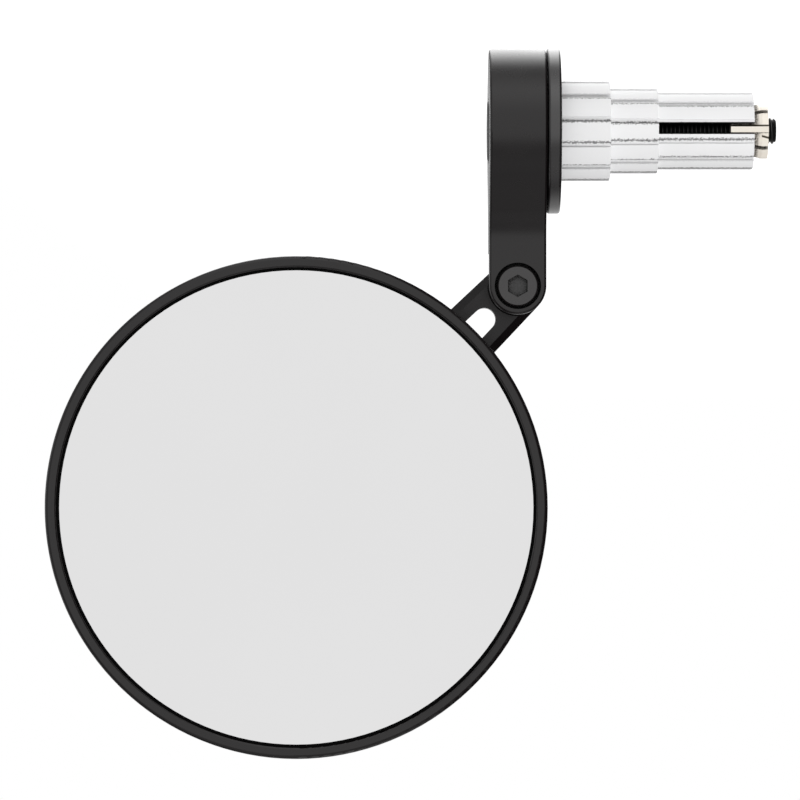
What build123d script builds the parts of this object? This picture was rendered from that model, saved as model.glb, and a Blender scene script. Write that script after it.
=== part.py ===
from build123d import *
import math
import os

# Bar end mirror for a motorcycle handlebar, in millimetres.
# Origin: handlebar axis at the face that meets the bar's end. +X runs into the bar, +Z is up,
# and the glass looks along -Y.

# Expander sleeve: three steps for three bar bores, grooved along their length
step1_d = 19.16
step1_l = 9.48
step2_d = 16.28
step2_l = 9.13
step3_d = 14.74
step3_l = 18.19
step_bevel = 0.15
groove_count = 12
groove1_w = 1.0
groove1_h = 0.5
groove2_w = 1.0
groove2_h = 0.42
groove3_w = 0.8
groove3_h = 0.34
groove_draft = 12.0
groove_turn = 4.0
slot_w = 2.25
slot_turn = 1.3
spigot_d = 12.0
spigot_reach = 3.0
spigot_clear = 0.05
spigot_end_gap = 0.3

# Expander cone: threaded on the bolt, keyed in the sleeve's slots
cone_d = 10.6
cone_l = 7.2
cone_land = 1.2
cone_angle = 17.0
cone_proud = 2.8
cone_play = 0.5
key_w = 1.1
key_rise = 0.3
slit_w = 0.85
slit_h = 2.2
slit_angle = 41.0

# Clamp bolt and its washer
bolt_d = 5.0
bolt_clear = 0.25
thread_clear = 0.03
bolt_tip_proud = 1.7
bolt_tip_bevel = 0.5
head_d = 12.2
head_h = 5.2
head_proud = 0.3
head_round = 0.8
head_clear = 0.2
clamp_hex = 4.0
clamp_hex_h = 2.8
washer_t = 0.8

# Spacer disc against the bar's end, and the washer that the arm swivels on
spacer_proud = 0.2
spacer_t = 2.5
spacer_round = 0.5
swivel_washer_w = 6.0
swivel_washer_t = 0.2

# Bar arm: round head on the bar axis, tapering to a flat lug
arm_d = 31.2
arm_w = 10.85
arm_taper = 33.0
arm_neck_round = 10.5
arm_edge_round = 0.5
lug_t = 13.4
pivot_drop = 29.75
shoulder_rise = 6.4

# Pivot of the stem, on an axis along Y
screw_d = 5.0
screw_fit = 0.05
screw_head_d = 7.74
screw_head_h = 3.0
screw_head_inset = 0.2
screw_head_bevel = 0.25
screw_hex = 3.66
screw_hex_h = 1.8
screw_end_proud = 0.6
counterbore_clear = 0.54
head_washer_t = 0.45
friction_washer_t = 0.25
axial_play = 0.05
ear_gap = 0.3
lap_h = 1.8
boss_clear = 0.1
lap_bevel = 0.1
nut_af = 8.0
nut_h = 2.7
nut_sunk = 2.1
nut_clear = 0.1
nut_bevel = 0.4

# Mirror stem: tapered slotted bar from the pivot to the ball stud
stem_l = 59.2
stem_angle = 45.0
stem_proud = 0.075
stem_end_r = 7.35
stem_t = 6.0
stem_bevel = 1.5
stem_back_bevel = 0.6
window_start = 6.65
window_leg = 3.62
window_margin = 13.0

# Ball joint between stem and mirror
ball_d = 9.4
ball_reach = 5.5
neck_d = 6.0
collar_af = 8.0
collar_h = 1.4
stud_d = 5.0
stud_fit = 0.05
stud_washer_d = 10.0
stud_washer_t = 0.8
stud_end_proud = 0.8
liner_t = 0.57
ball_fit = 0.03
liner_fit = 0.03
liner_wrap = 2.0
liner_slit = 0.8
retainer_edge = 1.2
retainer_t = 2.2
retainer_bevel = 0.5
retainer_screw_count = 4
socket_wall = 1.17
small_screw_d = 2.0
small_screw_l = 5.0
small_head_d = 3.8
small_head_sunk = 0.1
small_hex = 1.3
small_hex_h = 0.7
small_clear = 0.05

# Mirror head: housing with front ring, glass, edge seal and bonding pad
ring_d = 94.52
ring_face = 2.15
ring_round = 0.75
ring_inner_round = 0.35
ring_reach = 11.0
rim_t = 4.2
rim_back_round = 1.2
back_shoulder = 2.7
floor_t = 1.6
back_rise = 3.0
hub_edge = 0.7
hub_round_share = 0.85
seal_w = 0.43
seal_sunk = 0.45
glass_t = 2.0
glass_sunk = 0.9
glass_curve_r = 1200.0
pad_t = 0.7
pad_edge = 1.6
bond_gap = 0.04

# Stations along the bar axis
sleeve_end = step1_l + step2_l + step3_l
cone_end = sleeve_end + cone_proud
cone_start = cone_end - cone_l
arm_right = -spacer_t - swivel_washer_t
arm_left = arm_right - arm_w
head_face = arm_left - head_proud
head_seat = head_face + head_h
bolt_tip = cone_end + bolt_tip_proud
spigot_start = arm_right - spigot_reach
spacer_r = arm_d / 2 + spacer_proud
swivel_washer_r = spigot_d / 2 + swivel_washer_w

# Stations along Y at the pivot: the stem's front face is Y = 0
lug_front = -lug_t / 2
boss_end = lap_h - axial_play - friction_washer_t
screw_face = lug_front + screw_head_inset
screw_seat = screw_face + screw_head_h
web_front = screw_seat + axial_play + head_washer_t
nut_floor = stem_t - nut_sunk
screw_end = nut_floor + nut_h + screw_end_proud
counterbore_r = screw_head_d / 2 + counterbore_clear
stem_r = arm_w / 2 + stem_proud

# Stations along Y at the mirror's axis
ball_y = -ball_reach
ring_front = ball_y - ring_reach
glass_r = ring_d / 2 - ring_face - seal_w
glass_sag = glass_curve_r - math.sqrt(glass_curve_r**2 - glass_r**2)
glass_edge = ring_front + glass_sunk
glass_centre = glass_edge - glass_sag
floor_front = glass_edge + glass_t + pad_t
stud_nut_seat = stem_t + stud_washer_t
stud_end = stud_nut_seat + nut_h + stud_end_proud

# Radii of the ball joint and of what is set around it
ball_r = ball_d / 2
liner_in_r = ball_r + ball_fit
liner_out_r = liner_in_r + liner_t
socket_r = liner_out_r + liner_fit
retainer_circle_r = socket_r + socket_wall + small_head_d / 2
retainer_r = retainer_circle_r + small_head_d / 2 + retainer_edge
hub_r = retainer_r + hub_edge

pivot_place = Pos((arm_left + arm_right) / 2, 0, -pivot_drop)
stem_place = pivot_place * Rot(0, stem_angle, 0)
mirror_place = stem_place * Pos(0, 0, -stem_l) * Rot(0, -stem_angle, 0)

BASE = (Align.CENTER, Align.CENTER, Align.MIN)


def rod_x(radius, start, end):
    """Round bar on the X axis between two stations."""
    return Pos(start, 0, 0) * Rot(0, 90, 0) * Cylinder(radius, end - start, align=BASE)


def rod_y(radius, start, end):
    """Round bar on the Y axis between two stations."""
    return Pos(0, start, 0) * Rot(-90, 0, 0) * Cylinder(radius, end - start, align=BASE)


def ring_y(outer_r, inner_r, start, end):
    """Flat ring on the Y axis, as a washer is."""
    return rod_y(outer_r, start, end) - rod_y(inner_r, start, end)


def hex_x(across_flats, start, end):
    """Hexagonal bar on the X axis, points up and down."""
    outline = RegularPolygon(across_flats / 2, 6, major_radius=False, rotation=30)
    return extrude(Plane.YZ.offset(start) * outline, end - start)


def hex_y(across_flats, start, end):
    """Hexagonal bar on the Y axis, points up and down."""
    outline = RegularPolygon(across_flats / 2, 6, major_radius=False, rotation=30)
    return extrude(Plane.XZ.offset(-end) * outline, end - start)


def section(points, rounds=()):
    """Closed outline through the points, with some corners rounded."""
    face = make_face(Polyline(*points, close=True))
    for corner, radius in rounds:
        face = fillet(face.vertices().sort_by_distance(points[corner])[0], radius)
    return face


def cone_radius(x):
    """Radius of the cone's taper at a station on the bar axis."""
    return cone_d / 2 - (cone_end - cone_land - x) * math.tan(math.radians(cone_angle))


def grooves(diameter, width, depth, start, end):
    """Flat-bottomed grooves along one step, set out evenly around it."""
    radius = diameter / 2
    lean = depth * math.tan(math.radians(groove_draft))
    floor = width / 2 - lean
    mouth = width / 2 + lean
    outline = section(
        [(radius - depth, -floor), (radius + depth, -mouth), (radius + depth, mouth),
         (radius - depth, floor)]
    )
    cutter = extrude(Plane.YZ.offset(start) * outline, end - start)
    pitch = 360 / groove_count
    first = pitch / 2 + groove_turn
    return [Rot(first + pitch * k, 0, 0) * cutter for k in range(groove_count)]


def expander_sleeve():
    """Stepped sleeve with a spigot at the arm's side and a slotted conical mouth."""
    end1 = step1_l
    end2 = step1_l + step2_l
    pocket = cone_start - 2 * cone_play
    seat = cone_radius(0) + cone_play * math.tan(math.radians(cone_angle))
    rise = math.tan(math.radians(cone_angle))
    bore_r = bolt_d / 2 + bolt_clear
    body = revolve(
        section(
            [(spigot_start, bore_r), (spigot_start, spigot_d / 2), (0, spigot_d / 2),
             (0, step1_d / 2), (end1 - step_bevel, step1_d / 2), (end1, step1_d / 2 - step_bevel),
             (end1, step2_d / 2), (end2 - step_bevel, step2_d / 2), (end2, step2_d / 2 - step_bevel),
             (end2, step3_d / 2), (sleeve_end - step_bevel, step3_d / 2),
             (sleeve_end, step3_d / 2 - step_bevel), (sleeve_end, seat + sleeve_end * rise),
             (pocket, seat + pocket * rise), (pocket, bore_r)]
        ),
        Axis.X,
    )
    slot = Pos((end2 + cone_end) / 2, 0, 0) * Box(cone_end - end2, step1_d, slot_w)
    body -= grooves(step1_d, groove1_w, groove1_h, 0, end1)
    body -= grooves(step2_d, groove2_w, groove2_h, end1, end2)
    body -= grooves(step3_d, groove3_w, groove3_h, end2, sleeve_end)
    return body - Rot(-slot_turn, 0, 0) * slot


def expander_cone():
    """Cone nut: taper, short land, two keys and four relief slits."""
    bore_r = bolt_d / 2 + thread_clear
    body = revolve(
        section(
            [(cone_start, bore_r), (cone_start, cone_radius(cone_start)),
             (cone_end - cone_land, cone_d / 2), (cone_end, cone_d / 2), (cone_end, bore_r)]
        ),
        Axis.X,
    )
    middle = Pos((cone_start + cone_end) / 2, 0, 0)
    body += middle * Box(cone_l, cone_d + 2 * key_rise, key_w)
    body -= rod_x(bore_r, cone_start, cone_end)
    slit = middle * Pos(0, cone_d / 2, 0) * Box(cone_l, 2 * slit_h, slit_w)
    turns = (slit_angle, -slit_angle, 180 + slit_angle, 180 - slit_angle)
    return body - [Rot(turn, 0, 0) * slit for turn in turns]


def clamp_bolt():
    """Bolt with a wide rounded head, hexagon socket and bevelled tip."""
    r = bolt_d / 2
    body = revolve(
        section(
            [(head_face, 0), (head_face, head_d / 2), (head_seat, head_d / 2), (head_seat, r),
             (bolt_tip - bolt_tip_bevel, r), (bolt_tip, r - bolt_tip_bevel), (bolt_tip, 0)],
            [(1, head_round)],
        ),
        Axis.X,
    )
    return body - hex_x(clamp_hex, head_face, head_face + clamp_hex_h)


def clamp_bolt_washer():
    """Washer in the arm's counterbore, under the bolt's head."""
    outer = rod_x(head_d / 2, head_seat, head_seat + washer_t)
    return outer - rod_x(bolt_d / 2 + bolt_clear, head_seat, head_seat + washer_t)


def spacer_disc():
    """Disc between the arm and the bar's end, centred on the sleeve's spigot."""
    inner = spigot_d / 2 + spigot_clear
    outline = [(-spacer_t, inner), (-spacer_t, spacer_r), (0, spacer_r), (0, inner)]
    return revolve(section(outline, [(1, spacer_round), (2, spacer_round)]), Axis.X)


def arm_friction_washer():
    """Thin washer that the arm swivels on."""
    outer = rod_x(swivel_washer_r, arm_right, -spacer_t)
    return outer - rod_x(spigot_d / 2 + spigot_clear, arm_right, -spacer_t)


def bar_arm():
    """Arm: round head, tangent taper to a lug, and a round ear that laps the stem."""
    head_r = arm_d / 2
    lean = math.radians(arm_taper)
    lug = lug_t / 2
    end_r = arm_w / 2
    tangent_y = head_r * math.cos(lean)
    tangent_z = -head_r * math.sin(lean)
    corner_z = tangent_z - (tangent_y - lug) / math.tan(lean)
    foot_z = -pivot_drop - end_r
    side = Circle(head_r) + section(
        [(0, 0), (-tangent_y, tangent_z), (-lug, corner_z), (-lug, foot_z), (lug, foot_z),
         (lug, corner_z), (tangent_y, tangent_z)]
    )
    for y in (-lug, lug):
        side = fillet(side.vertices().sort_by_distance((y, corner_z))[0], arm_neck_round)
    body = extrude(Plane.YZ.offset(arm_left) * side, arm_w)

    depth = arm_d + lug_t
    front = pivot_place * rod_y(end_r, -depth, depth)
    top = pivot_drop + head_r
    front += pivot_place * Pos(0, 0, top / 2) * Box(arm_w, 2 * depth, top)
    body &= front
    lap = pivot_place * Pos(0, -ear_gap, shoulder_rise)
    body -= lap * Box(2 * arm_w, depth, 2 * depth, align=(Align.CENTER, Align.MIN, Align.MAX))
    sides = [f for f in body.faces().filter_by(Axis.X) if f.area > arm_w**2]
    rim = [e for f in sides for e in f.edges()]
    rim += body.edges().filter_by(GeomType.CIRCLE).filter_by(lambda e: e.radius == end_r)
    body = fillet([e for e in rim if not is_along_y(e)], arm_edge_round)

    body += pivot_place * rod_y(end_r, -ear_gap - arm_edge_round, boss_end)
    body -= pivot_place * rod_y(screw_d / 2 + screw_fit, lug_front, boss_end)
    body -= pivot_place * rod_y(counterbore_r, lug_front, web_front)
    body -= rod_x(head_d / 2 + head_clear, arm_left, head_seat + washer_t)
    body -= rod_x(bolt_d / 2 + bolt_clear, arm_left, arm_right)
    return body - rod_x(spigot_d / 2 + spigot_clear, spigot_start - spigot_end_gap, arm_right)


def is_along_y(edge):
    """True for a straight edge along Y, where the round end meets a flat side."""
    return edge.geom_type == GeomType.LINE and abs(edge.tangent_at(0).Y) > 0.99


def pivot_screw():
    """Socket screw of the stem's pivot."""
    head_r = screw_head_d / 2
    r = screw_d / 2
    body = revolve(
        section(
            [(0, screw_face), (head_r - screw_head_bevel, screw_face),
             (head_r, screw_face + screw_head_bevel), (head_r, screw_seat), (r, screw_seat),
             (r, screw_end), (0, screw_end)]
        ),
        Axis.Y,
    )
    return pivot_place * (body - hex_y(screw_hex, screw_face, screw_face + screw_hex_h))


def pivot_head_washer():
    """Washer under the pivot screw's head."""
    washer = ring_y(screw_head_d / 2, screw_d / 2 + screw_fit, screw_seat + axial_play, web_front)
    return pivot_place * washer


def pivot_friction_washer():
    """Washer between the arm's round ear and the stem."""
    end = boss_end + friction_washer_t
    return pivot_place * ring_y(arm_w / 2, screw_d / 2 + screw_fit, boss_end, end)


def lock_nut(bore_r, start):
    """Thin hexagon nut, bevelled on its outer face."""
    end = start + nut_h
    round_r = nut_af / 2 / math.cos(math.pi / 6)
    dome = revolve(
        section(
            [(0, start), (round_r, start), (round_r, end - nut_bevel),
             (round_r - 2 * nut_bevel, end), (0, end)]
        ),
        Axis.Y,
    )
    return (hex_y(nut_af, start, end) & dome) - rod_y(bore_r, start, end)


def pivot_lock_nut():
    """Nut of the pivot screw, sunk in the stem's back."""
    return stem_place * lock_nut(screw_d / 2 + thread_clear, nut_floor)


def tapered_bar(start, start_r, end, end_r, thickness):
    """Flat bar that hangs from Y = 0 backwards, with round ends of two radii."""
    ends = Pos(0, -start) * Circle(start_r) + Pos(0, -end) * Circle(end_r)
    return extrude(Plane.XZ.offset(-thickness) * make_hull(ends.edges()), thickness)


def mirror_stem():
    """Tapered slotted stem with bevelled edges and a round recess for the arm's ear."""
    spread = (stem_end_r - stem_r) / stem_l
    body = tapered_bar(0, stem_r, stem_l, stem_end_r, stem_t)
    body = chamfer(body.faces().sort_by(Axis.Y)[0].edges(), stem_bevel)
    body = chamfer(body.faces().sort_by(Axis.Y)[-1].edges(), stem_back_bevel)

    near_r = (stem_r + spread * window_start - window_leg) / (1 - spread)
    far = stem_l - window_margin
    far_r = (stem_r + spread * far - window_leg) / (1 + spread)
    body -= tapered_bar(window_start + near_r, near_r, far - far_r, far_r, stem_t)

    recess_r = arm_w / 2 + boss_clear
    body -= rod_y(recess_r, 0, lap_h)
    body -= revolve(
        section([(0, 0), (recess_r + lap_bevel, 0), (recess_r, lap_bevel), (0, lap_bevel)]), Axis.Y
    )
    body -= rod_y(screw_d / 2 + screw_fit, 0, stem_t)
    body -= hex_y(nut_af + 2 * nut_clear, nut_floor, stem_t)
    body -= Pos(0, 0, -stem_l) * rod_y(stud_d / 2 + stud_fit, 0, stem_t)
    return stem_place * body


def ball_stud():
    """Ball on a neck, with a hexagon collar and a shank through the stem."""
    body = Pos(0, ball_y, 0) * Sphere(ball_r)
    body += rod_y(neck_d / 2, ball_y, 0)
    body += hex_y(collar_af, -collar_h, 0)
    body += rod_y(stud_d / 2, 0, stud_end)
    return mirror_place * body


def ball_stud_washer():
    """Washer under the ball stud's nut."""
    washer = ring_y(stud_washer_d / 2, stud_d / 2 + stud_fit, stem_t, stud_nut_seat)
    return mirror_place * washer


def ball_stud_nut():
    """Nut that holds the ball stud to the stem."""
    return mirror_place * lock_nut(stud_d / 2 + thread_clear, stud_nut_seat)


def ball_liner():
    """Split plastic cup around the ball, open towards the stem."""
    shell = Sphere(liner_out_r) - Sphere(liner_in_r)
    shell -= Pos(0, liner_wrap, 0) * Box(
        3 * liner_out_r, liner_out_r, 3 * liner_out_r, align=(Align.CENTER, Align.MIN, Align.CENTER)
    )
    slit = Box(liner_slit, liner_out_r, liner_out_r, align=(Align.CENTER, Align.CENTER, Align.MAX))
    return mirror_place * Pos(0, ball_y, 0) * (shell - Pos(0, liner_wrap, 0) * slit)


def small_screw_places():
    """Where the retainer's screws sit around the mirror's axis."""
    turn = 360 / retainer_screw_count
    spot = Pos(retainer_circle_r, ball_y + retainer_t, 0)
    return [Rot(0, turn * (k + 0.5), 0) * spot for k in range(retainer_screw_count)]


def countersunk(r, head_r, sunk, length):
    """Countersunk screw shape: head face at Y = 0 less the sunk depth, shank towards -Y."""
    return revolve(
        section(
            [(0, -sunk), (head_r, -sunk), (r, -sunk - (head_r - r)), (r, -length), (0, -length)]
        ),
        Axis.Y,
    )


def socket_retainer():
    """Ring that closes the ball socket from behind."""
    end = ball_y + retainer_t
    body = revolve(
        section(
            [(0, ball_y), (retainer_r, ball_y), (retainer_r, end - retainer_bevel),
             (retainer_r - retainer_bevel, end), (0, end)]
        ),
        Axis.Y,
    )
    body -= Pos(0, ball_y, 0) * Sphere(socket_r)
    head_r = small_head_d / 2 + small_head_sunk + small_clear
    hole = countersunk(small_screw_d / 2 + small_clear, head_r, 0, small_screw_l)
    return mirror_place * (body - [place * hole for place in small_screw_places()])


def retainer_screws():
    """Countersunk screws of the retainer, as one set."""
    screw = countersunk(small_screw_d / 2, small_head_d / 2, small_head_sunk, small_screw_l)
    screw -= hex_y(small_hex, -small_head_sunk - small_hex_h, -small_head_sunk)
    return Compound(children=[mirror_place * place * screw for place in small_screw_places()])


def mirror_housing():
    """Shallow dish with a narrow front ring, and a hub behind that holds the ball."""
    outer = ring_d / 2
    inner = outer - ring_face
    back = floor_front + floor_t
    hub_foot = back + back_rise
    hub_round = hub_round_share * (ball_y - hub_foot)
    body = revolve(
        section(
            [(0, floor_front), (inner, floor_front), (inner, ring_front), (outer, ring_front),
             (outer, ring_front + rim_t), (outer - back_shoulder, back), (hub_r, hub_foot),
             (hub_r, ball_y), (0, ball_y)],
            [(2, ring_inner_round), (3, ring_round), (4, rim_back_round), (5, rim_back_round), (6, hub_round)],
        ),
        Axis.Y,
    )
    body -= Pos(0, ball_y, 0) * Sphere(socket_r)
    hole = rod_y(small_screw_d / 2 + small_clear, -small_screw_l - small_clear, 0)
    return mirror_place * (body - [place * hole for place in small_screw_places()])


def dished(radius, front_centre, front_r, back_edges):
    """Half section with a spherical front, closed by a rear line or arc."""
    sag = front_r - math.sqrt(front_r**2 - radius**2)
    half_sag = front_r - math.sqrt(front_r**2 - radius**2 / 4)
    middle = (radius / 2, front_centre + half_sag)
    return [ThreePointArc((0, front_centre), middle, (radius, front_centre + sag))] + back_edges


def mirror_glass():
    """Convex glass of even thickness."""
    back_r = glass_curve_r - glass_t
    back_centre = glass_centre + glass_t
    back_edge = back_centre + back_r - math.sqrt(back_r**2 - glass_r**2)
    back_middle = back_centre + back_r - math.sqrt(back_r**2 - glass_r**2 / 4)
    edges = dished(
        glass_r, glass_centre, glass_curve_r,
        [Line((glass_r, glass_edge), (glass_r, back_edge)),
         ThreePointArc((glass_r, back_edge), (glass_r / 2, back_middle), (0, back_centre)),
         Line((0, back_centre), (0, glass_centre))],
    )
    return mirror_place * revolve(make_face(edges), Axis.Y)


def glass_gasket():
    """Edge seal between the glass and the front ring."""
    inner = glass_r + bond_gap
    outer = ring_d / 2 - ring_face - bond_gap
    return mirror_place * ring_y(outer, inner, ring_front + seal_sunk, floor_front)


def glass_pad():
    """Bonding pad that fills the space between the glass and the housing's floor."""
    front_r = glass_curve_r - glass_t - bond_gap
    front = glass_centre + glass_t + bond_gap
    r = glass_r - pad_edge
    edge = front + front_r - math.sqrt(front_r**2 - r**2)
    edges = dished(
        r, front, front_r,
        [Line((r, edge), (r, floor_front)), Line((r, floor_front), (0, floor_front)),
         Line((0, floor_front), (0, front))],
    )
    return mirror_place * revolve(make_face(edges), Axis.Y)


pieces = [
    expander_sleeve, expander_cone, clamp_bolt, clamp_bolt_washer, spacer_disc, arm_friction_washer,
    bar_arm, pivot_screw, pivot_head_washer, pivot_friction_washer, pivot_lock_nut, mirror_stem,
    ball_stud, ball_stud_washer, ball_stud_nut, ball_liner, socket_retainer, retainer_screws,
    mirror_housing, mirror_glass, glass_gasket, glass_pad,
]

os.makedirs("parts", exist_ok=True)
for piece in pieces:
    export_step(piece(), f"parts/{piece.__name__}.step")
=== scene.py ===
# %% [markdown]
# This lesson dresses a motorcycle bar end mirror: a round convex glass in a black dish, on a slotted
# stem and a short arm, clamped in the handlebar's end by a stepped expander sleeve.
# The solids come ready made as a fixed frame, in metres. Nothing here moves them: a better looking
# piece is built in the same place and stands for the plain one.

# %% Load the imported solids
import math

import bmesh
import bpy
from mathutils import Matrix, Vector


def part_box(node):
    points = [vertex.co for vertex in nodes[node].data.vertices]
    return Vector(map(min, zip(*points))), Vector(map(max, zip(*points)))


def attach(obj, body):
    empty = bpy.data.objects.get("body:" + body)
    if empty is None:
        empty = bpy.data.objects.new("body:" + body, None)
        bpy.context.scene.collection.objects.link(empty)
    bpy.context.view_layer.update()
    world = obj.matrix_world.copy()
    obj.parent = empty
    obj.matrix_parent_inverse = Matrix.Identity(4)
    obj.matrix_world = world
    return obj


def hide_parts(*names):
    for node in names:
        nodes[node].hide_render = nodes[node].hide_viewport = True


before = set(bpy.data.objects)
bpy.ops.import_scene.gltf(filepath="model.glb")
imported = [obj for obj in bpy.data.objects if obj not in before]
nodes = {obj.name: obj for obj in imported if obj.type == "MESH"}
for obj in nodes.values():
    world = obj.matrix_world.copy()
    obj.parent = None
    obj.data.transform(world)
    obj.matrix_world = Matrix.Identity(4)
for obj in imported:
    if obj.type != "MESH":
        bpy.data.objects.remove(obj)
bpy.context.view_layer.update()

# %% [markdown]
# The photograph is a level product shot through a long lens, straight at the glass.
# A camera could be pushed about by eye until it fits. Here two known depths gave its distance: the
# ring in front is a little larger than its true scale and the sleeve behind a little smaller.

# %% Camera at the photograph's angle
MM = 0.001
CAMERA_PLACE = (-30.49 * MM, -916 * MM, -51.42 * MM)
SENSOR_WIDTH, FOCAL_LENGTH = 36.0, 215.64

scene = bpy.context.scene
scene.view_settings.view_transform = "Standard"
lens = bpy.data.cameras.new("product_lens")
lens.sensor_width = SENSOR_WIDTH
lens.lens = FOCAL_LENGTH
camera = bpy.data.objects.new("product_camera", lens)
camera.location = CAMERA_PLACE
camera.rotation_euler = (math.pi / 2, 0, 0)
scene.collection.objects.link(camera)
scene.camera = camera
print("camera", [round(v, 4) for v in camera.location], "lens", round(lens.lens, 1))

# %% [markdown]
# Black anodised metal is mostly a dim mirror, so its shades come from what stands around it.
# Cards and soft boxes could be built as objects, but they would show in other views. Here they are
# painted into the world by direction. A ramp over the pitch holds the soft box above the camera, the
# dim floor and the bright strip above and behind, which narrows towards both sides. Two factors dim
# it: a dark card on the right, and on the left a dim side with a darker card low beside the mirror.

# %% Small helpers for node trees
def add(tree, kind, **settings):
    """New node with its properties set."""
    node = tree.nodes.new(kind)
    for name, value in settings.items():
        setattr(node, name, value)
    return node


def feed(tree, socket, value):
    """Links an output to a socket, or writes a plain value there."""
    if isinstance(value, bpy.types.NodeSocket):
        tree.links.new(value, socket)
    else:
        socket.default_value = value


def math_node(tree, operation, *values, clamp=False):
    """Math node on up to three values, and its result."""
    node = add(tree, "ShaderNodeMath", operation=operation, use_clamp=clamp)
    for socket, value in zip(node.inputs, values):
        feed(tree, socket, value)
    return node.outputs[0]


def range_node(tree, value, low, high, start=0.0, end=1.0, blend="SMOOTHSTEP"):
    """Moves a value from one range to another, held at both ends."""
    node = add(tree, "ShaderNodeMapRange", interpolation_type=blend)
    for name, given in (("Value", value), ("From Min", low), ("From Max", high),
                        ("To Min", start), ("To Max", end)):
        feed(tree, node.inputs[name], given)
    return node.outputs["Result"]


def split_xyz(tree, vector):
    """The three numbers of a vector, by name."""
    node = add(tree, "ShaderNodeSeparateXYZ")
    feed(tree, node.inputs[0], vector)
    return node.outputs


print("node helpers ready")

# %% World: brightness by pitch
# Degrees of pitch and brightness: 0 is the camera's side, 90 straight up, 180 behind the mirror.
PITCH_LEVELS = (
    (-180, 1.0), (-154, 1.0), (-141, 0.83), (-121, 0.9), (-105, 0.64), (-92, 0.26),
    (-85, 0.26), (-75, 0.42), (-66, 0.45), (-50, 0.53), (-33, 0.44), (-24, 0.44),
    (-19, 0.58), (-13, 1.0), (27, 1.0), (35, 1.16), (57, 1.42), (74, 1.0),
    (85, 0.68), (97, 0.74), (111, 2.2), (127, 3.6), (152, 3.2), (180, 1.0),
)
BRIGHTEST = 4.0

studio = bpy.data.worlds.new("white_studio")
studio.use_nodes = True
sky = studio.node_tree
sky.nodes.clear()
way = split_xyz(sky, add(sky, "ShaderNodeTexCoord").outputs["Generated"])
pitch = math_node(sky, "ARCTAN2", way["Z"], math_node(sky, "MULTIPLY", way["Y"], -1.0))
ramp = add(sky, "ShaderNodeValToRGB")
feed(sky, ramp.inputs[0], math_node(sky, "MULTIPLY_ADD", pitch, 0.5 / math.pi, 0.5))
stops = ramp.color_ramp.elements
while len(stops) < len(PITCH_LEVELS):
    stops.new(0.5)
for stop, (degrees, brightness) in zip(stops, PITCH_LEVELS):
    share = brightness / BRIGHTEST
    stop.position = degrees / 360 + 0.5
    stop.color = (share, share, share, 1)
level = math_node(sky, "MULTIPLY", ramp.outputs[0], BRIGHTEST)
print("world", len(stops), "pitch stops")

# %% World: cards at both sides, and the white background
# Each row fades along one number of the direction: where it starts and ends, and the share at either.
STRIP_SIDES = (0.15, 0.35, 0.0, 1.0)
DARK_CARD = (0.2, 0.6, 1.0, 0.05)
LEFT_SIDE = (-0.3, -0.6, 1.0, 0.5)
LEFT_CARD, LEFT_CARD_END = (0.02, -0.3, 1.0, 0.3), (-0.45, -0.95, 1.0, 4.0)
CARD_LOW, CARD_BESIDE = (0.4, 0.15, 0.0, 1.0), (-0.4, 0.0, 0.0, 1.0)

beside = range_node(sky, math_node(sky, "ABSOLUTE", way["X"]), *STRIP_SIDES)
excess = math_node(sky, "MAXIMUM", math_node(sky, "SUBTRACT", level, 1.0), 0.0)
level = math_node(sky, "SUBTRACT", level, math_node(sky, "MULTIPLY", excess, beside))

dark_card = range_node(sky, way["X"], *DARK_CARD)
left_side = range_node(sky, way["X"], *LEFT_SIDE)
left_card = math_node(sky, "MULTIPLY", range_node(sky, way["X"], *LEFT_CARD),
                      range_node(sky, way["X"], *LEFT_CARD_END))
card_spot = math_node(sky, "MULTIPLY", range_node(sky, way["Z"], *CARD_LOW),
                      range_node(sky, way["Y"], *CARD_BESIDE))
left_change = math_node(sky, "SUBTRACT", left_card, left_side)
left = math_node(sky, "MULTIPLY_ADD", card_spot, left_change, left_side)
for factor in (dark_card, left):
    level = math_node(sky, "MULTIPLY", level, factor)

# The camera, and the glass as the only perfect mirror, see plain white.
path = add(sky, "ShaderNodeLightPath")
for ray in ("Is Camera Ray", "Is Transmission Ray", "Is Singular Ray"):
    level = math_node(sky, "MAXIMUM", level, path.outputs[ray])
background = add(sky, "ShaderNodeBackground")
feed(sky, background.inputs["Strength"], level)
feed(sky, background.inputs["Color"], (1, 1, 1, 1))
sky.links.new(background.outputs[0], add(sky, "ShaderNodeOutputWorld").inputs["Surface"])
scene.world = studio
print("world", len(sky.nodes), "nodes")

# %% [markdown]
# The mirror hangs from a handlebar, so it stands on nothing. The floor lies a hand's breadth below it,
# out of the main view, and takes its soft shadow when the camera looks down.
# It could be a large curved backdrop. A disc of white paper is enough, because it runs into the white
# background before its edge shows. Seen from below it is clear, so it never hides the mirror.

# %% Floor: white paper that fades out
# The fade is in metres out from the floor's middle.
FADE_START, FADE_END = 0.12, 0.36
FIBRE = 2.5 * MM
FIBRE_ROUGHNESS = (0.2, 0.8, 0.7, 0.9)
PAPER_WHITE = (0.93, 0.93, 0.93, 1)


def vector_node(tree, operation, *values):
    """Vector Math node on one or two vectors."""
    node = add(tree, "ShaderNodeVectorMath", operation=operation)
    for socket, value in zip(node.inputs, values):
        feed(tree, socket, value)
    return node.outputs


def noise_node(tree, vector, scale, detail=2.0):
    """Noise over a vector, about 0.5 on average."""
    node = add(tree, "ShaderNodeTexNoise")
    feed(tree, node.inputs["Vector"], vector)
    feed(tree, node.inputs["Scale"], scale)
    feed(tree, node.inputs["Detail"], detail)
    return node.outputs[0]


def mix_shader(tree, factor, first, second):
    """Blend of two shaders."""
    node = add(tree, "ShaderNodeMixShader")
    for socket, value in zip(node.inputs, (factor, first.outputs[0], second.outputs[0])):
        feed(tree, socket, value)
    return node


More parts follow.
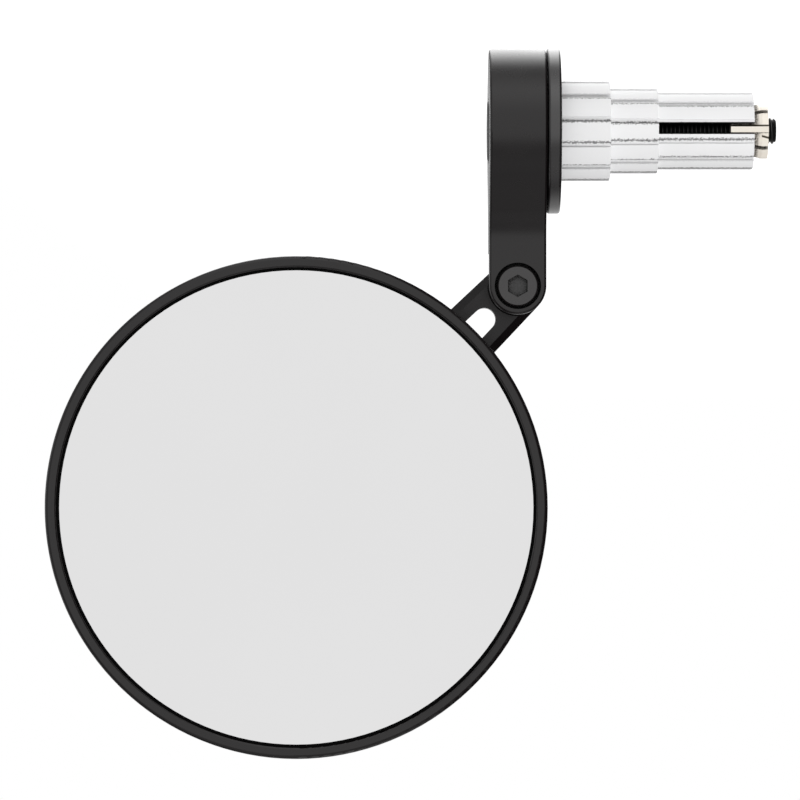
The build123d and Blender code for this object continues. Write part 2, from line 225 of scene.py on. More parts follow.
paper = bpy.data.materials.new("studio_paper")
paper.use_nodes = True
tree = paper.node_tree
tree.nodes.clear()
spot = add(tree, "ShaderNodeTexCoord").outputs["Object"]
fade = range_node(tree, vector_node(tree, "LENGTH", spot)["Value"], FADE_START, FADE_END)
seen = add(tree, "ShaderNodeLightPath").outputs["Is Camera Ray"]
matt = add(tree, "ShaderNodeBsdfDiffuse")
fibre = noise_node(tree, spot, 1 / FIBRE)
feed(tree, matt.inputs["Roughness"], range_node(tree, fibre, *FIBRE_ROUGHNESS))
feed(tree, matt.inputs["Color"], PAPER_WHITE)
glow = add(tree, "ShaderNodeEmission")
faded = mix_shader(tree, math_node(tree, "MULTIPLY", fade, seen), matt, glow)
under = add(tree, "ShaderNodeNewGeometry").outputs["Backfacing"]
one_sided = mix_shader(tree, under, faded, add(tree, "ShaderNodeBsdfTransparent"))
tree.links.new(one_sided.outputs[0], add(tree, "ShaderNodeOutputMaterial").inputs["Surface"])
print("paper", len(tree.nodes), "nodes")

# %% Floor: a wide disc
FLOOR_PLACE = (-30 * MM, 0, -165 * MM)
FLOOR_R, FLOOR_SIDES = 4.0, 96

floor_mesh = bpy.data.meshes.new("studio_floor")
bm = bmesh.new()
bmesh.ops.create_circle(bm, cap_ends=True, segments=FLOOR_SIDES, radius=FLOOR_R)
bm.to_mesh(floor_mesh)
bm.free()
floor_mesh.materials.append(paper)
floor = bpy.data.objects.new("studio_floor", floor_mesh)
floor.location = FLOOR_PLACE
floor.visible_glossy = False
floor.visible_diffuse = False
floor.visible_shadow = False
scene.collection.objects.link(floor)
print("floor at", FLOOR_PLACE[2], "facing", floor_mesh.polygons[0].normal.z)

# %% [markdown]
# The sleeve is pale and matt, so it needs light that falls on it, not only something to reflect.
# One large lamp would leave its underside dim. A key box above and a fill box below light it evenly,
# and both stay out of the reflections, which are the world's work.

# %% Key box and fill box
LAMP_SIZE = 0.7


def soft_lamp(name, watts, place):
    """Square lamp that looks at the origin and doesn't show in reflections."""
    lamp = bpy.data.lights.new(name, "AREA")
    lamp.size = LAMP_SIZE
    lamp.energy = watts
    holder = bpy.data.objects.new(name, lamp)
    holder.location = place
    holder.rotation_euler = (-Vector(place)).to_track_quat("-Z", "Y").to_euler()
    holder.visible_glossy = False
    scene.collection.objects.link(holder)
    print(name, watts, "W")


soft_lamp("key_box", 5.2, (0.58, -0.16, 0.92))
soft_lamp("fill_box", 9.8, (0.58, -0.71, -0.6))

# %% [markdown]
# All the metal here was blasted with fine grit before it was coloured, which shows as grain where
# light grazes it. Each finish could have its own nodes for that. Four effects are shared by many
# finishes, so each is a node group made once: grain with slow clouds of tone, pale rubbed edges,
# painted shade in inner corners, and the rings a lathe leaves.

# %% Group: grain and slow clouds
CLOUD_SHARE = 0.6


def start_group(name, inputs, outputs):
    """New shader group with its sockets, its input node and its output node."""
    group = bpy.data.node_groups.new(name, "ShaderNodeTree")
    face = group.interface
    for label, kind, value in inputs:
        socket = face.new_socket(label, in_out="INPUT", socket_type="NodeSocket" + kind)
        if value is not None:
            socket.default_value = value
    for label, kind in outputs:
        face.new_socket(label, in_out="OUTPUT", socket_type="NodeSocket" + kind)
    return group, add(group, "NodeGroupInput").outputs, add(group, "NodeGroupOutput").inputs


# ShaderNodeMix keeps one set of sockets for each kind of data, and a name finds the first of them,
# so the colour sockets are looked up by their identifiers.
def mix_colour(tree, factor, first, second):
    """Blend of two colours."""
    node = add(tree, "ShaderNodeMix", data_type="RGBA")
    sockets = {s.identifier: s for s in node.inputs}
    feed(tree, sockets["Factor_Float"], factor)
    feed(tree, sockets["A_Color"], first)
    feed(tree, sockets["B_Color"], second)
    return next(s for s in node.outputs if s.identifier == "Result_Color")


grain, given, made = start_group(
    "blasted_grain",
    [("Vector", "Vector", None), ("Grain Scale", "Float", 5000.0), ("Cloud Scale", "Float", 90.0),
     ("Dark", "Color", None), ("Light", "Color", None),
     ("Roughness Low", "Float", 0.35), ("Roughness High", "Float", 0.45)],
    [("Color", "Color"), ("Roughness", "Float"), ("Height", "Float"), ("Cloud", "Float")],
)
fine = noise_node(grain, given["Vector"], given["Grain Scale"], 3.0)
slow = noise_node(grain, given["Vector"], given["Cloud Scale"], 4.0)
cloud = range_node(grain, slow, 0.3, 0.7)
speck = math_node(grain, "MULTIPLY_ADD", fine, 1 - CLOUD_SHARE,
                  math_node(grain, "MULTIPLY", cloud, CLOUD_SHARE))
rough = range_node(grain, speck, 0.0, 1.0, given["Roughness Low"], given["Roughness High"], "LINEAR")
feed(grain, made["Color"], mix_colour(grain, speck, given["Dark"], given["Light"]))
feed(grain, made["Roughness"], rough)
feed(grain, made["Height"], fine)
feed(grain, made["Cloud"], cloud)
print("group", grain.name, len(grain.nodes), "nodes")

# %% Group: rubbed edges
# A Bevel node rounds the normal near an edge. Where it leaves the true normal, the edge is near.
EDGE_TURN = (0.98, 0.8)
PATCHY_WEAR = (0.0, 1.0, 0.4, 1.0)

wear, given, made = start_group(
    "rubbed_edges",
    [("Color", "Color", None), ("Rubbed Color", "Color", None), ("Width", "Float", 0.0002),
     ("Amount", "Float", 0.5), ("Cloud", "Float", 0.5)],
    [("Color", "Color")],
)
softened = add(wear, "ShaderNodeBevel", samples=4)
feed(wear, softened.inputs["Radius"], given["Width"])
true_normal = add(wear, "ShaderNodeNewGeometry").outputs["Normal"]
agree = vector_node(wear, "DOT_PRODUCT", softened.outputs[0], true_normal)["Value"]
edge = math_node(wear, "MULTIPLY", range_node(wear, agree, *EDGE_TURN),
                 range_node(wear, given["Cloud"], *PATCHY_WEAR))
edge = math_node(wear, "MULTIPLY", edge, given["Amount"], clamp=True)
feed(wear, made["Color"], mix_colour(wear, edge, given["Color"], given["Rubbed Color"]))
print("group", wear.name, len(wear.nodes), "nodes")

# %% Group: painted shade in inner corners
# Ambient Occlusion finds where little light reaches, and the group paints shade there. The grain
# breaks its edge up, and the same mask raises the roughness.
BROKEN_EDGE = (0.4, 0.6, 0.5, 1.0)

corner_shade_group, given, made = start_group(
    "painted_corner_shade",
    [("Color", "Color", None), ("Corner Color", "Color", None), ("Roughness", "Float", 0.4),
     ("Reach", "Float", 0.0006), ("Open", "Float", 0.9), ("Shut", "Float", 0.5),
     ("Amount", "Float", 0.5), ("Grain", "Float", 0.5)],
    [("Color", "Color"), ("Roughness", "Float")],
)
nearby = add(corner_shade_group, "ShaderNodeAmbientOcclusion", samples=16)
feed(corner_shade_group, nearby.inputs["Distance"], given["Reach"])
corner = range_node(corner_shade_group, nearby.outputs["AO"], given["Open"], given["Shut"])
corner = math_node(corner_shade_group, "MULTIPLY", corner, range_node(corner_shade_group, given["Grain"], *BROKEN_EDGE))
corner = math_node(corner_shade_group, "MULTIPLY", corner, given["Amount"], clamp=True)
feed(corner_shade_group, made["Color"], mix_colour(corner_shade_group, corner, given["Color"], given["Corner Color"]))
feed(corner_shade_group, made["Roughness"], math_node(corner_shade_group, "MAXIMUM", given["Roughness"], corner))
print("group", corner_shade_group.name, len(corner_shade_group.nodes), "nodes")

# %% Group: rings left by the lathe
# The rings are a noise along one number: the distance along the axis or out from it.
rings, given, made = start_group(
    "lathe_rings",
    [("Distance", "Float", 0.0), ("Spacing", "Float", 0.00015),
     ("Grain", "Float", 0.5), ("Share", "Float", 0.5)],
    [("Height", "Float")],
)
line = add(rings, "ShaderNodeTexNoise", noise_dimensions="1D")
feed(rings, line.inputs["W"], math_node(rings, "DIVIDE", given["Distance"], given["Spacing"]))
feed(rings, line.inputs["Scale"], 1.0)
feed(rings, line.inputs["Detail"], 2.0)
rest = math_node(rings, "SUBTRACT", 1.0, given["Share"])
height = math_node(rings, "MULTIPLY", line.outputs[0], given["Share"])
height = math_node(rings, "ADD", height, math_node(rings, "MULTIPLY", given["Grain"], rest))
feed(rings, made["Height"], height)
print("group", rings.name, len(rings.nodes), "nodes")

# %% [markdown]
# The sleeve's twelve grooves and its slot are cut in the solid. A ragged dark line of painted shade
# follows the groove edges, most of all the edge next to the middle, and the slot's walls are
# painted nearly black as shade.
# Thin strips could be laid on the edges, but their ends would show. Masks worked out from the turn
# round the bar axis follow the same edges at every step of the sleeve.

# %% Masks: painted shade on the sleeve's groove edges and slot walls
GROOVES, GROOVE_TURN, GROOVE_EDGE = 12, math.radians(11), 0.42 * MM
LINE_EDGE, LINE_CORE = 0.42 * MM, 0.08 * MM
RAGGED, RAGGED_GRAIN = 1.15 * MM, 0.3 * MM
# The bore and the mouth lie nearer to the axis than this, and get no painted shade.
OUTSIDE_R = 6.2 * MM
SLOT_TURN, SLOT_HALF, SLOT_START = math.radians(1.3), 1.15 * MM, 18.58 * MM
# Painted shade on an edge by its height on the sleeve, which goes from 1 at the top to -1 at the bottom.
INNER_EDGE = (0.5, 0.9, 0.9, 0.1)
OUTER_SIDES, OUTER_BOTTOM = (0.45, 0.7, 0.0, 0.2), (-0.85, -0.95, 0.0, 0.65)
OUTER_TOP = (0.8, 0.9, 1.0, 0.0)


def groove_shade_lines(tree, spot, front, up):
    """Mask of ragged lines of painted shade along both edges of each groove."""
    turn = math_node(tree, "ARCTAN2", up, front)
    squares = math_node(tree, "MULTIPLY_ADD", front, front, math_node(tree, "MULTIPLY", up, up))
    radius = math_node(tree, "SQRT", squares)
    offset = math_node(tree, "SUBTRACT", turn, GROOVE_TURN)
    offset = math_node(tree, "WRAP", offset, math.pi / GROOVES, -math.pi / GROOVES)
    across = math_node(tree, "MULTIPLY", math_node(tree, "MULTIPLY", offset, radius),
                       math_node(tree, "SIGN", math_node(tree, "MULTIPLY", front, up)))
    speck = noise_node(tree, spot, 1 / RAGGED_GRAIN, 3.0)
    ragged = math_node(tree, "MULTIPLY_ADD", speck, RAGGED, -RAGGED / 2)
    edges = []
    for place in (-GROOVE_EDGE, GROOVE_EDGE):
        gap = math_node(tree, "ABSOLUTE", math_node(tree, "SUBTRACT", across, place))
        gap = math_node(tree, "ADD", gap, ragged)
        edges.append(range_node(tree, gap, LINE_EDGE, LINE_CORE))
    height = math_node(tree, "SINE", turn)
    steep = math_node(tree, "ABSOLUTE", height)
    inner = math_node(tree, "MULTIPLY", edges[0], range_node(tree, height, *INNER_EDGE))
    shown = math_node(tree, "MAXIMUM", range_node(tree, steep, *OUTER_SIDES),
                      range_node(tree, height, *OUTER_BOTTOM))
    outer = math_node(tree, "MULTIPLY", edges[1], shown)
    outer = math_node(tree, "MULTIPLY", outer, range_node(tree, height, *OUTER_TOP))
    lines = math_node(tree, "MAXIMUM", inner, outer)
    return math_node(tree, "MULTIPLY", lines, math_node(tree, "GREATER_THAN", radius, OUTSIDE_R))


def sleeve_shade_marks(tree, spot):
    """Masks of the painted shade along the sleeve's groove edges and on its slot's walls."""
    place = split_xyz(tree, spot)
    front, up = math_node(tree, "MULTIPLY", place["Y"], -1.0), place["Z"]
    plane = math_node(tree, "MULTIPLY_ADD", front, -math.tan(SLOT_TURN), up)
    within = math_node(tree, "LESS_THAN", math_node(tree, "ABSOLUTE", plane), SLOT_HALF)
    slot = math_node(tree, "MULTIPLY", within, math_node(tree, "GREATER_THAN", place["X"], SLOT_START))
    return groove_shade_lines(tree, spot, front, up), slot


print("masks for", GROOVES, "grooves, slot from", round(SLOT_START, 5))

# %% [markdown]
# The cone's two keys run in the sleeve's slot and are polished by it. A dark line of painted shade
# lies along a key's upper edge, where its bevel is shaded, and painted shade marks a short slanted
# nick below it.
# Each could be cut in the solid, but they are finer than its other edges. Masks along X and Z put
# them on the key's flat face.

# %% Masks: the cone's key, and painted shade on its upper edge and nick
KEY_HALF, KEY_SHADE_Z, KEY_SHADE_HALF = 0.55 * MM, 0.78 * MM, 0.2 * MM
NICK_START, NICK_Z, NICK_LEAN, NICK_HALF = 38.3 * MM, -1.24 * MM, 0.27, 0.28 * MM
DARK_CORE = 0.4


def dark_line(tree, gap, half):
    """Mask that is full in a line's core and fades to its half width."""
    return range_node(tree, math_node(tree, "ABSOLUTE", gap), half, DARK_CORE * half)


def key_marks(tree, spot):
    """Masks of the cone's bright key, and of the painted shade on its upper edge and nick."""
    place = split_xyz(tree, spot)
    edge_shade = dark_line(tree, math_node(tree, "SUBTRACT", place["Z"], KEY_SHADE_Z), KEY_SHADE_HALF)
    past = math_node(tree, "SUBTRACT", place["X"], NICK_START)
    above = math_node(tree, "SUBTRACT", place["Z"], NICK_Z)
    nick = dark_line(tree, math_node(tree, "MULTIPLY_ADD", past, NICK_LEAN, above), NICK_HALF)
    nick = math_node(tree, "MULTIPLY", nick, math_node(tree, "GREATER_THAN", past, 0.0))
    key = math_node(tree, "LESS_THAN", math_node(tree, "ABSOLUTE", place["Z"]), KEY_HALF)
    return key, math_node(tree, "MAXIMUM", edge_shade, nick)


print("key mask", round(2 * KEY_HALF, 5), "high")

# %% [markdown]
# Every finish on the mirror is one of these groups' settings with its own shader values.
# The black parts are satin anodised, the sleeve is bright blasted aluminium, the cone is warm nickel
# plate, and the bolts are black steel. Each could be a material made by hand. One function makes them
# all, and what is the same all over a finish stays on the shader itself.

# %% Finishes: groups and distances
low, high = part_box("mirror_housing")
MIRROR_AXIS = ((low.x + high.x) / 2, 0, (low.z + high.z) / 2)


def place_group(tree, group, **values):
    """Group node with its inputs set; an underscore in a name stands for a space."""
    node = add(tree, "ShaderNodeGroup", node_tree=group)
    for name, value in values.items():
        feed(tree, node.inputs[name.replace("_", " ")], value)
    return node.outputs


def distance_out(tree, vector):
    """Distance out from the mirror's axis, which lies along Y."""
    offset = vector_node(tree, "SUBTRACT", vector, MIRROR_AXIS)[0]
    flat = vector_node(tree, "MULTIPLY", offset, (1, 0, 1))[0]
    return vector_node(tree, "LENGTH", flat)["Value"]


print("mirror axis at", [round(v, 5) for v in MIRROR_AXIS])

# %% Finishes: one function for all metals and plastics
CLOUD_SCALE = 90.0
RUBBED_WIDTH, RUBBED_AMOUNT = 0.15 * MM, 0.3
RELIEF_DEPTH = 0.1 * MM
RING_SHARE = 0.5
KEY_POLISH = (0.0, 1.0, 1.0, 0.45)
# The slot walls are painted nearly black as shade.
SLOT_SHADE = (0.01, 0.01, 0.01, 1)


def finish(name, dark, light, roughness, grain_mm=0.2, bump=0.1, ior=1.5, metallic=0.0, rubbed=None,
           corner_shade=(), groove_shade=None, key_shade=None, ring_mm=None, ring_axis="X"):
    """Material from the shared groups, in layers.

    Grain and clouds come first. A rubbed colour adds pale worn edges, and each corner row (colour,
    reach in mm, open, shut) paints shade into the inner corners that Ambient Occlusion finds. A groove
    colour paints shade along the sleeve's groove edges, with the slot walls painted black as shade, and
    a key colour paints shade along the cone key's upper edge and in its nick. A ring spacing adds lathe
    marks along the bar axis, or out from the mirror's.
    """
    material = bpy.data.materials.new(name)
    material.use_nodes = True
    tree = material.node_tree
    shader = tree.nodes["Principled BSDF"]
    spot = add(tree, "ShaderNodeTexCoord").outputs["Object"]
    blasted = place_group(
        tree, grain, Vector=spot, Grain_Scale=1 / (grain_mm * MM), Cloud_Scale=CLOUD_SCALE,
        Dark=(*dark, 1), Light=(*light, 1), Roughness_Low=roughness[0], Roughness_High=roughness[1],
    )
    colour, height, rough = blasted["Color"], blasted["Height"], blasted["Roughness"]
    if rubbed:
        colour = place_group(
            tree, wear, Color=colour, Rubbed_Color=(*rubbed, 1), Width=RUBBED_WIDTH,
            Amount=RUBBED_AMOUNT, Cloud=blasted["Cloud"],
        )["Color"]
    corner_shade_share = 1.0
    if key_shade:
        key, key_shade_mask = key_marks(tree, spot)
        corner_shade_share = math_node(tree, "SUBTRACT", 1.0, key)
        metallic = math_node(tree, "MAXIMUM", key, metallic)
        rough = math_node(tree, "MULTIPLY", rough, range_node(tree, key, *KEY_POLISH))
    # Painted shade where Ambient Occlusion finds a corner, kept off the key.
    for shade, reach_mm, opened, shut in corner_shade:
        layer = place_group(
            tree, corner_shade_group, Color=colour, Corner_Color=(*shade, 1), Roughness=rough,
            Reach=reach_mm * MM, Open=opened, Shut=shut, Amount=corner_shade_share, Grain=blasted["Height"],
        )
        colour, rough = layer["Color"], layer["Roughness"]
    # Painted shade along the sleeve's groove edges, and painted shade that blackens the slot walls.
    if groove_shade:
        lines, slot = sleeve_shade_marks(tree, spot)
        colour = mix_colour(tree, lines, colour, (*groove_shade, 1))
        colour = mix_colour(tree, slot, colour, SLOT_SHADE)
    # Painted shade along the key's upper edge and in the nick below it.
    if key_shade:
        colour = mix_colour(tree, key_shade_mask, colour, (*key_shade, 1))
    if ring_mm:
        out = split_xyz(tree, spot)["X"] if ring_axis == "X" else distance_out(tree, spot)
        height = place_group(tree, rings, Distance=out, Spacing=ring_mm * MM, Grain=height,
                             Share=RING_SHARE)["Height"]
    relief = add(tree, "ShaderNodeBump")
    feed(tree, relief.inputs["Strength"], bump)
    feed(tree, relief.inputs["Distance"], RELIEF_DEPTH)
    feed(tree, relief.inputs["Height"], height)
    for socket, value in (("Base Color", colour), ("Roughness", rough), ("Metallic", metallic),
                          ("Normal", relief.outputs[0]), ("IOR", ior)):
        feed(tree, shader.inputs[socket], value)
    return material


def grey(value):
    """Colour with the same red, green and blue."""
    return (value, value, value)


print("finish function ready, relief", RELIEF_DEPTH)

# %% Finishes: black anodised parts
DARK_BLACK = (0.003, 0.002, 0.0022)
MIDDLE_BLACK = (0.005, 0.0037, 0.004)
# The arm takes painted shade in its inner corners.
satin_black = finish(
    "satin_black_anodise", DARK_BLACK, (0.006, 0.0045, 0.0048), (0.22, 0.32),
    rubbed=grey(0.03), corner_shade=((grey(0.001), 1.5, 0.6, 0.3),),
)
stem_black = finish(
    "stem_black_anodise", DARK_BLACK, MIDDLE_BLACK, (0.24, 0.34), ior=1.44, rubbed=grey(0.025),
)
ring_black = finish(
    "turned_black_anodise", DARK_BLACK, MIDDLE_BLACK, (0.22, 0.32), bump=0.05, rubbed=grey(0.02),
    ring_mm=0.12, ring_axis="Y",
)
disc_black = finish(
    "spacer_black_anodise", (0.005, 0.0038, 0.004), (0.009, 0.0075, 0.008), (0.22, 0.32), bump=0.05,
    ior=1.8, rubbed=grey(0.03), ring_mm=0.1,
)
print("finishes", len(bpy.data.materials))

# %% Finishes: bright metals and steel
# The sleeve takes painted shade along its groove edges and on its slot walls.
bright_blasted = finish(
    "bright_blasted_aluminium", (0.80, 0.80, 0.805), (0.84, 0.84, 0.845), (0.5, 0.6), grain_mm=0.16,
    ior=1.3, metallic=0.05, groove_shade=grey(0.14),
)
# The cone takes painted shade on its taper and slits, and along its key's upper edge and nick.
warm_nickel = finish(
    "warm_nickel_plate", (0.80, 0.73, 0.63), (0.90, 0.85, 0.77), (0.35, 0.45), bump=0.05, ior=1.4,
    metallic=0.2, corner_shade=(((0.02, 0.015, 0.01), 1.5, 0.85, 0.6),), key_shade=(0.05, 0.04, 0.025),
    ring_mm=0.12,
)
black_steel = finish(
    "black_oxide_steel", grey(0.001), grey(0.002), (0.34, 0.4), grain_mm=0.15, bump=0.01, ior=1.75,
)
# The socket screw takes painted shade on the walls of its hexagon socket.
screw_black = finish(
    "pivot_screw_steel", (0.006, 0.0045, 0.0047), (0.011, 0.009, 0.0095), (0.28, 0.38),
    grain_mm=0.18, ior=1.75, rubbed=grey(0.04), corner_shade=((grey(0.001), 3.0, 0.85, 0.2),),
)
# Zinc takes painted shade in its inner corners.
zinc = finish(
    "zinc_plate", (0.55, 0.56, 0.58), (0.68, 0.69, 0.70), (0.25, 0.4), grain_mm=0.3, bump=0.08,
    metallic=1.0, rubbed=grey(0.8), corner_shade=((grey(0.08), 0.6, 0.9, 0.5),),
)
print("finishes", len(bpy.data.materials))

# %% Finishes: plastics, rubber and foam
nylon = finish("moulded_nylon", grey(0.01), grey(0.02), (0.45, 0.6), grain_mm=0.25)
rubber = finish("edge_seal_rubber", grey(0.001), grey(0.002), (0.7, 0.85), bump=0.2, ior=1.15)
foam = finish("bonding_foam", grey(0.05), grey(0.12), (0.8, 0.95), grain_mm=0.6, bump=0.6)
print("finishes", len(bpy.data.materials))

# %% [markdown]
# The glass is silvered behind, so it shows what it faces and hardly any colour of its own.
# It could be clear glass over a metal sheet. One metallic surface gives the same look with less
# noise, and faint wiping marks in its tint keep it from being a perfect sheet. It is the only
# perfect mirror here, so Is Singular Ray in the world is its reflection alone: the glass shows the
# white background from every side, and the black parts keep the painted studio.

# %% Finish: silvered glass
WIPE_FINE, WIPE_WIDE = 60.0, 14.0

silvered = bpy.data.materials.new("silvered_glass")
silvered.use_nodes = True
tree = silvered.node_tree
shader = tree.nodes["Principled BSDF"]
wiped = place_group(
    tree, grain, Vector=add(tree, "ShaderNodeTexCoord").outputs["Object"], Grain_Scale=WIPE_FINE,
    Cloud_Scale=WIPE_WIDE, Dark=(0.757, 0.755, 0.757, 1), Light=(0.772, 0.770, 0.772, 1),
)
feed(tree, shader.inputs["Base Color"], wiped["Color"])
feed(tree, shader.inputs["Roughness"], 0.0)
feed(tree, shader.inputs["Metallic"], 1.0)
print("finish", silvered.name)

# %% [markdown]
# Each solid came with one plain material. Finishes could be given face by face, but every solid here
# is made of one stuff, so its one slot takes one finish, and its mesh isn't touched.

# %% Give every solid its finish
def dress(material, *names):
    """Puts one material on solids, in place of the plain one they came with."""
    for name in names:
        mesh = nodes[name].data
        mesh.materials.clear()
        mesh.materials.append(material)


dress(satin_black, "bar_arm")
dress(stem_black, "mirror_stem")
dress(ring_black, "mirror_housing", "socket_retainer")
dress(disc_black, "spacer_disc")
dress(bright_blasted, "expander_sleeve")
dress(warm_nickel, "expander_cone")
dress(black_steel, "clamp_bolt", "retainer_screws")
dress(screw_black, "pivot_screw")
dress(zinc, "clamp_bolt_washer", "pivot_head_washer", "pivot_lock_nut")
dress(zinc, "ball_stud", "ball_stud_washer", "ball_stud_nut")
dress(nylon, "ball_liner", "arm_friction_washer", "pivot_friction_washer")
dress(silvered, "mirror_glass")
dress(rubber, "glass_gasket")
dress(foam, "glass_pad")
print("dressed", sum(len(o.data.materials) for o in nodes.values()))

# %% [markdown]
# The clamp bolt's thread shows in the sleeve's slot and at its tip, and two more threads end in nuts
# behind the stem, so they are cut for real.
# A thread could be a profile swept along a helix, but that leaves the core as a second surface.
# Geometry Nodes bend one flat grid into a closed rod along +X: its length runs along the axis, its
# width goes once round, and each point's radius follows the thread's V for that place on the helix.

# %% Geometry Nodes: what a thread is given
LENGTHS = (("Length", 0.03), ("Radius", 0.0025), ("Depth", 0.0004), ("Pitch", 0.0008),
           ("Tip Bevel", 0.0005), ("Run Out", 0.001))
COUNTS = (("Rows", 300), ("Sides", 49))

cut_thread = bpy.data.node_groups.new("cut_thread", "GeometryNodeTree")
tree, face = cut_thread, cut_thread.interface
face.new_socket("Geometry", in_out="OUTPUT", socket_type="NodeSocketGeometry")
face.new_socket("Geometry", in_out="INPUT", socket_type="NodeSocketGeometry")
for kind, inputs in (("Float", LENGTHS), ("Int", COUNTS)):
    for label, value in inputs:
        socket = face.new_socket(label, in_out="INPUT", socket_type="NodeSocket" + kind)
        socket.default_value = value
face.new_socket("Finish", in_out="INPUT", socket_type="NodeSocketMaterial")
given = add(tree, "NodeGroupInput").outputs
print("tree", tree.name, len(face.items_tree), "sockets")

# %% Geometry Nodes: a flat grid, and each point's place on the rod
SAME_PLACE = 1e-7

grid = add(tree, "GeometryNodeMeshGrid")
for name, value in (("Size X", 1.0), ("Size Y", 1.0),
                    ("Vertices X", given["Rows"]), ("Vertices Y", given["Sides"])):
    feed(tree, grid.inputs[name], value)
place = split_xyz(tree, add(tree, "GeometryNodeInputPosition").outputs[0])
share = math_node(tree, "ADD", place["X"], 0.5)
turn = math_node(tree, "ADD", place["Y"], 0.5)

# Half a row stands past each end and is drawn in to the axis, which closes the rod.
row = math_node(tree, "DIVIDE", given["Length"], math_node(tree, "SUBTRACT", given["Rows"], 2.0))
raw = math_node(tree, "MULTIPLY", share, math_node(tree, "ADD", given["Length"], row))
raw = math_node(tree, "SUBTRACT", raw, math_node(tree, "MULTIPLY", row, 0.5))
along = math_node(tree, "MINIMUM", math_node(tree, "MAXIMUM", raw, 0.0), given["Length"])
inside = math_node(tree, "COMPARE", raw, along, SAME_PLACE)
print("tree", tree.name, len(tree.nodes), "nodes")

# %% Geometry Nodes: the V along the helix
# It is a triangle wave with a flat crest and a nearly sharp root, given as shares of a turn. It runs
# out towards the head, and the tip is bevelled.
TURN_STEPS = 24
CREST, ROOT = 2.5 / TURN_STEPS, 11.5 / TURN_STEPS

phase = math_node(tree, "SUBTRACT", math_node(tree, "DIVIDE", along, given["Pitch"]), turn)
vee = range_node(tree, math_node(tree, "PINGPONG", phase, 0.5), CREST, ROOT, blend="LINEAR")
run_out = range_node(tree, along, 0.0, given["Run Out"], blend="LINEAR")
depth = math_node(tree, "MULTIPLY", math_node(tree, "MULTIPLY", vee, run_out), given["Depth"])
radius = math_node(tree, "SUBTRACT", given["Radius"], depth)
limit = math_node(tree, "ADD", math_node(tree, "SUBTRACT", given["Length"], along),
                  math_node(tree, "SUBTRACT", given["Radius"], given["Tip Bevel"]))
radius = math_node(tree, "MULTIPLY", math_node(tree, "MINIMUM", radius, limit), inside)
print("crest", round(2 * CREST, 3), "and root", round(1 - 2 * ROOT, 3), "of a turn")

# %% Geometry Nodes: bend the grid, weld it and give it its finish
WELD = 1e-6

angle = math_node(tree, "MULTIPLY", turn, 2 * math.pi)
point = add(tree, "ShaderNodeCombineXYZ")
feed(tree, point.inputs["X"], along)
feed(tree, point.inputs["Y"], math_node(tree, "MULTIPLY", radius, math_node(tree, "COSINE", angle)))
feed(tree, point.inputs["Z"], math_node(tree, "MULTIPLY", radius, math_node(tree, "SINE", angle)))
shape = add(tree, "GeometryNodeSetPosition")
feed(tree, shape.inputs["Geometry"], grid.outputs["Mesh"])
feed(tree, shape.inputs["Position"], point.outputs[0])
welded = add(tree, "GeometryNodeMergeByDistance")
feed(tree, welded.inputs["Geometry"], shape.outputs[0])
feed(tree, welded.inputs["Distance"], WELD)
outward = add(tree, "GeometryNodeFlipFaces")
feed(tree, outward.inputs[0], welded.outputs[0])
real = add(tree, "GeometryNodeRealizeInstances")
feed(tree, real.inputs[0], outward.outputs[0])
painted = add(tree, "GeometryNodeSetMaterial")
feed(tree, painted.inputs["Geometry"], real.outputs[0])
feed(tree, painted.inputs["Material"], given["Finish"])
feed(tree, add(tree, "NodeGroupOutput").inputs[0], painted.outputs[0])
print("tree", tree.name, len(tree.nodes), "nodes")

# %% Threaded rods as plain meshes
# A turn has as many rows as sides, so that the rows follow the crest.
PITCH, SHANK_R, THREAD_DEPTH = 0.8 * MM, 2.5 * MM, 0.43 * MM
TIP_BEVEL, RUN_OUT = 0.5 * MM, 1.0 * MM


def threaded_rod(name, material, length):
    """Runs the thread tree on an empty object and returns the plain mesh."""
    carrier = bpy.data.objects.new(name, bpy.data.meshes.new(name))
    scene.collection.objects.link(carrier)
    modifier = carrier.modifiers.new("thread", "NODES")
    modifier.node_group = cut_thread
    keys = {s.name: s.identifier for s in cut_thread.interface.items_tree if s.in_out == "INPUT"}
    sizes = {
        "Length": length, "Radius": SHANK_R, "Depth": THREAD_DEPTH, "Pitch": PITCH,
        "Tip Bevel": TIP_BEVEL, "Run Out": RUN_OUT, "Finish": material,
        "Rows": round(TURN_STEPS * length / PITCH) + 2, "Sides": TURN_STEPS + 1,
    }
    for label, value in sizes.items():
        modifier[keys[label]] = value
    depsgraph = bpy.context.evaluated_depsgraph_get()
    mesh = bpy.data.meshes.new_from_object(carrier.evaluated_get(depsgraph))
    bpy.data.objects.remove(carrier)
    print(name, len(mesh.polygons), "faces")
    return mesh


# %% [markdown]
# The rest of a bolt is turned: head, neck and collar are all rows of points round one axis.
# A lathe profile with the Screw modifier would do for round rows. Here a row may also be a hexagon,
# so one helper makes heads with sockets, collars with flats and a ball, always closed at both ends.

# %% Helper: turned pieces with round and hexagon rows
ROUND_SIDES = 96
FILLET_STEPS = 6


